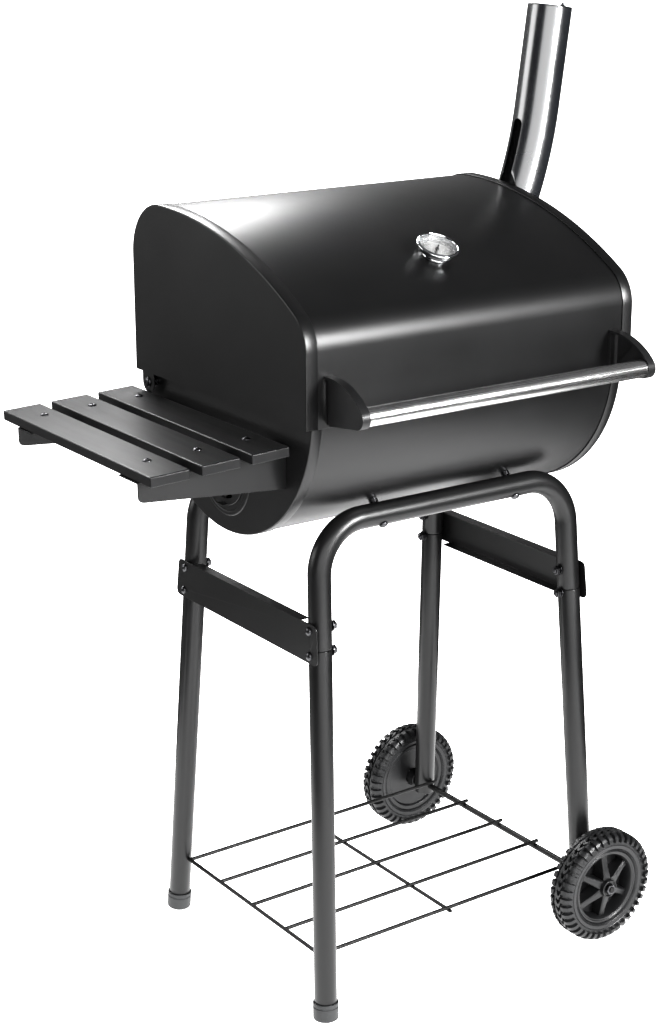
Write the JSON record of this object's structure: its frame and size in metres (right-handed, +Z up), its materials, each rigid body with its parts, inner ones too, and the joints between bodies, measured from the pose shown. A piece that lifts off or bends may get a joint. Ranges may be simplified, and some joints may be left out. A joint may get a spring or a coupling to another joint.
{
  "type": "barrel charcoal grill",
  "caption": "Barrel charcoal grill on a tubular stand with a hinged lid, bent chimney, slatted side table, wire shelf and wheels.",
  "frame": {"origin": "on the floor, under the middle of the whole grill's box", "axes": "+Z up; +X along the barrel towards the chimney and wheels; -Y towards the handle and the cook"},
  "size_m": [0.753, 0.4916, 1.179],
  "materials": {
    "satin_black_paint": "satin powder coat",
    "gloss_black_paint": "gloss enamel",
    "slat_paint": "satin black paint on board",
    "black_wire": "satin enamel on wire",
    "chromed_wire": "bright plated wire",
    "brushed_tube": "brushed along its length",
    "dark_zinc": "dark plated fasteners",
    "chrome_bezel": "polished",
    "handle_plastic": "fine moulded grain",
    "foot_plastic": "satin moulded",
    "hub_plastic": "satin moulded",
    "tyre_plastic": "matte moulded tread",
    "dial_face": "printed dial",
    "needle_paint": "black paint",
    "dial_glass": "clear"
  },
  "bodies": {
    "stand": {"front_u_tube": "satin_black_paint", "front_left_leg": "satin_black_paint", "front_right_leg": "satin_black_paint", "front_foot_cap": "foot_plastic", "rear_u_tube": "satin_black_paint", "rear_left_leg": "satin_black_paint", "rear_right_leg": "satin_black_paint", "rear_foot_cap": "foot_plastic", "left_brace": "satin_black_paint", "left_front_lower_brace_bolt": "dark_zinc", "left_front_upper_brace_bolt": "dark_zinc", "left_rear_lower_brace_bolt": "dark_zinc", "left_rear_upper_brace_bolt": "dark_zinc", "right_brace": "satin_black_paint", "right_front_lower_brace_bolt": "dark_zinc", "right_front_upper_brace_bolt": "dark_zinc", "right_rear_lower_brace_bolt": "dark_zinc", "right_rear_upper_brace_bolt": "dark_zinc", "front_left_bar_bolt": "dark_zinc", "front_right_bar_bolt": "dark_zinc", "rear_left_bar_bolt": "dark_zinc", "rear_right_bar_bolt": "dark_zinc", "wire_shelf": "black_wire", "axle": "black_wire", "front_axle_nut": "dark_zinc", "rear_axle_nut": "dark_zinc", "bowl_shell": "satin_black_paint", "bowl_left_end": "satin_black_paint", "bowl_right_end": "satin_black_paint", "vent_rivet": "dark_zinc", "left_hinge_bolt": "dark_zinc", "right_hinge_bolt": "dark_zinc", "front_grate_rest": "satin_black_paint", "rear_grate_rest": "satin_black_paint", "charcoal_grate": "black_wire", "front_table_bracket": "satin_black_paint", "rear_table_bracket": "satin_black_paint", "inner_slat": "slat_paint", "middle_slat": "slat_paint", "outer_slat": "slat_paint"},
    "lid": {"lid_shell": "satin_black_paint", "lid_left_end": "satin_black_paint", "lid_right_end": "satin_black_paint", "left_handle_bracket": "handle_plastic", "right_handle_bracket": "handle_plastic", "handle_tube": "brushed_tube", "thermometer_case": "chrome_bezel", "thermometer_dial": "dial_face", "thermometer_glass": "dial_glass", "chimney_tube": "gloss_black_paint", "chimney_cap_bolt": "dark_zinc"},
    "chimney_cap": {"chimney_cap": "gloss_black_paint"},
    "damper": {"vent_damper": "satin_black_paint"},
    "needle": {"thermometer_needle": "needle_paint"},
    "front_wheel": {"front_tyre": "tyre_plastic", "front_hub": "hub_plastic"},
    "rear_wheel": {"rear_tyre": "tyre_plastic", "rear_hub": "hub_plastic"},
    "left_grate": {"left_cooking_grate": "chromed_wire"},
    "right_grate": {"right_cooking_grate": "chromed_wire"}
  },
  "joints": [
    {"name": "lid_hinge", "type": "hinge", "parent": "stand", "child": "lid", "pos_m": [0.04453, 0.17379, 0.737], "axis": [-1, 0, 0], "range_deg": [0, 84]},
    {"name": "chimney_cap_swivel", "type": "hinge", "parent": "lid", "child": "chimney_cap", "pos_m": [0.36883, 0.06979, 1.17058], "axis": [0.1392, 0, 0.9903], "range_deg": [0, 150]},
    {"name": "needle_turn", "type": "hinge", "parent": "lid", "child": "needle", "pos_m": [0.04453, -0.09474, 0.91549], "axis": [0, 0.4208, -0.9072], "range_deg": [0, 250]},
    {"name": "damper_turn", "type": "hinge", "parent": "stand", "child": "damper", "pos_m": [-0.18477, 0.01479, 0.659], "axis": [1, 0, 0], "range_deg": [-24, 28]},
    {"name": "front_wheel_spin", "type": "hinge", "parent": "stand", "child": "front_wheel", "pos_m": [0.24947, -0.19521, 0.075], "axis": [0, 1, 0], "continuous": true},
    {"name": "rear_wheel_spin", "type": "hinge", "parent": "stand", "child": "rear_wheel", "pos_m": [0.24947, 0.22079, 0.075], "axis": [0, 1, 0], "continuous": true},
    {"name": "left_grate_lift", "type": "slide", "parent": "stand", "child": "left_grate", "axis": [0, 0, 1], "range_m": [0, 0.07]},
    {"name": "right_grate_lift", "type": "slide", "parent": "stand", "child": "right_grate", "axis": [0, 0, 1], "range_m": [0, 0.07]}
  ]
}
